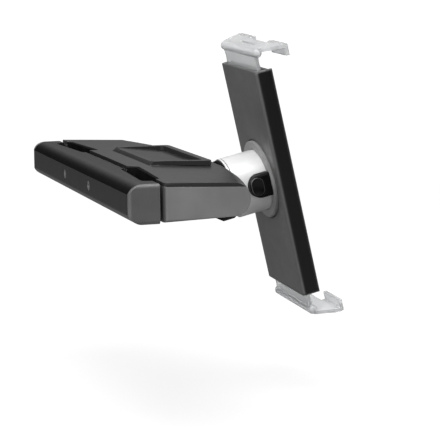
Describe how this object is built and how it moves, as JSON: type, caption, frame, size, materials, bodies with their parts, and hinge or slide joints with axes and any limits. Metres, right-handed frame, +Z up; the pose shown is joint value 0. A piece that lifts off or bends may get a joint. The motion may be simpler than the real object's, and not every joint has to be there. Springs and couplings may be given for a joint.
{
  "type": "headrest tablet mount",
  "caption": "Car headrest mount for a tablet: a bar and a bowed body clamp the headrest posts, and a tilting tube carries a turning holder with geared sliding jaws.",
  "frame": {"origin": "middle of the clamp gap, half way between the two headrest posts and half way up the bar", "axes": "+X from the bar towards the tablet, +Y along the bar, +Z up"},
  "size_m": [0.1647, 0.25, 0.1778],
  "materials": {
    "deck_plastic": "satin",
    "black_plastic": "fine texture",
    "pad_rubber": "matt",
    "steel": "zinc",
    "silver_plastic": "silver lacquer",
    "holder_plastic": "satin",
    "ring_plastic": "satin",
    "clear_plastic": "milky",
    "gear_plastic": "natural"
  },
  "bodies": {
    "body": {"base_shell": "deck_plastic", "deck_cover": "deck_plastic", "body_pad_near": "pad_rubber", "body_pad_far": "pad_rubber", "shell_screws": "steel", "lever_pins": "steel", "hinge_bracket": "black_plastic", "bracket_screws": "steel", "tilt_bolt": "steel", "tilt_nut": "steel", "friction_washers": "gear_plastic", "clamp_spring_near": "steel", "clamp_spring_far": "steel"},
    "bar": {"clamp_bar": "black_plastic", "bar_cap_near": "black_plastic", "bar_cap_far": "black_plastic", "bar_pad_near": "pad_rubber", "bar_pad_far": "pad_rubber", "bar_screws": "steel", "guide_rods": "steel", "draw_yoke": "black_plastic"},
    "lever": {"clamp_lever": "deck_plastic"},
    "tilt_head": {"hinge_core": "black_plastic", "tube_sleeve": "silver_plastic", "trim_ring": "silver_plastic", "release_block": "black_plastic", "button_spring": "steel"},
    "button": {"release_button": "black_plastic", "latch_plate": "steel"},
    "holder": {"holder_hub": "black_plastic", "lock_ring": "ring_plastic", "holder_shell": "holder_plastic", "holder_front": "holder_plastic", "front_pads": "pad_rubber", "holder_screws": "steel"},
    "pinion": {"sync_pinion": "gear_plastic"},
    "top_jaw": {"jaw_top": "clear_plastic"},
    "bottom_jaw": {"jaw_bottom": "clear_plastic"}
  },
  "joints": [
    {"name": "lever_lift", "type": "hinge", "parent": "body", "child": "lever", "pos_m": [0.027, 0, 0.0025], "axis": [0, -1, 0], "range_deg": [0, 70.01]},
    {"name": "bar_slide", "type": "slide", "parent": "body", "child": "bar", "axis": [-1, 0, 0], "range_m": [0, 0.00733], "deforming": ["clamp_spring_near", "clamp_spring_far"]},
    {"name": "tube_tilt", "type": "hinge", "parent": "body", "child": "tilt_head", "pos_m": [0.0648, 0, -0.0144], "axis": [0, 1, 0], "range_deg": [-7, 28]},
    {"name": "button_press", "type": "slide", "parent": "tilt_head", "child": "button", "axis": [0, 1, 0], "range_m": [0, 0.002], "stiffness_N_per_m": 400, "springref_m": -0.002, "deforming": ["button_spring"]},
    {"name": "holder_spin", "type": "hinge", "parent": "tilt_head", "child": "holder", "pos_m": [0.0648, 0, -0.0144], "axis": [0.9736, 0, 0.2284], "continuous": true},
    {"name": "top_jaw_slide", "type": "slide", "parent": "holder", "child": "top_jaw", "axis": [-0.2282, -0.0349, 0.973], "range_m": [-0.0055, 0.022]},
    {"name": "bottom_jaw_slide", "type": "slide", "parent": "holder", "child": "bottom_jaw", "axis": [0.2282, 0.0349, -0.973], "range_m": [-0.0055, 0.022]},
    {"name": "pinion_turn", "type": "hinge", "parent": "holder", "child": "pinion", "pos_m": [0.0648, 0, -0.0144], "axis": [0.9736, 0, 0.2284], "range_deg": [-32, 127]}
  ],
  "couplings": [
    {"joint": "lever_lift", "follows": "bar_slide", "rad_per_m": 166.67},
    {"joint": "bottom_jaw_slide", "follows": "top_jaw_slide", "ratio": 1},
    {"joint": "pinion_turn", "follows": "top_jaw_slide", "rad_per_m": 100}
  ]
}
